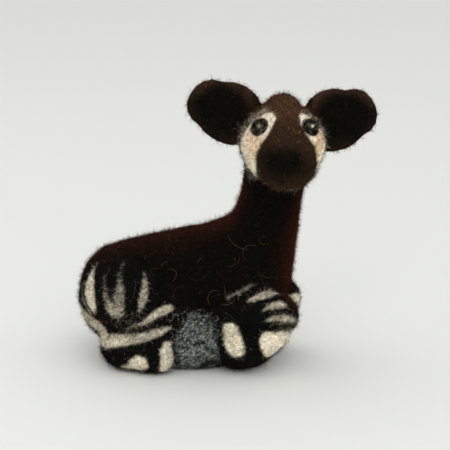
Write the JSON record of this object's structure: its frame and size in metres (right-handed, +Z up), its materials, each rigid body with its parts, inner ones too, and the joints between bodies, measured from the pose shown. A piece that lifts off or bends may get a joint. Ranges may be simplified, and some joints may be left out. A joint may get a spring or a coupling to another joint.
{
  "type": "needle-felted okapi figure",
  "caption": "Needle-felted wool okapi figure lying down with folded legs, its head turned to one side, with big round ears and cream striped legs.",
  "frame": {"origin": "on the ground under the middle of the body, on the flat of the belly", "axes": "+Z up, +X the way the body faces, -Y the right side, to which the head is turned"},
  "size_m": [0.0937, 0.0516, 0.0905],
  "materials": {
    "chestnut_wool": "matte",
    "chocolate_wool": "matte",
    "cream_wool": "matte",
    "grey_wool": "matte",
    "black_wool": "matte"
  },
  "bodies": {
    "root": {"torso": "chestnut_wool", "neck": "chestnut_wool", "belly": "grey_wool", "head": "cream_wool", "muzzle": "chocolate_wool", "tail": "black_wool", "eye_right": "black_wool", "eye_speck_right": "cream_wool", "ear_right": "chocolate_wool", "haunch_right": "black_wool", "hind_foot_right": "cream_wool", "forearm_right": "black_wool", "cannon_right": "cream_wool", "eye_left": "black_wool", "eye_speck_left": "cream_wool", "ear_left": "chocolate_wool", "haunch_left": "black_wool", "hind_foot_left": "cream_wool", "forearm_left": "black_wool", "cannon_left": "cream_wool"}
  },
  "joints": []
}
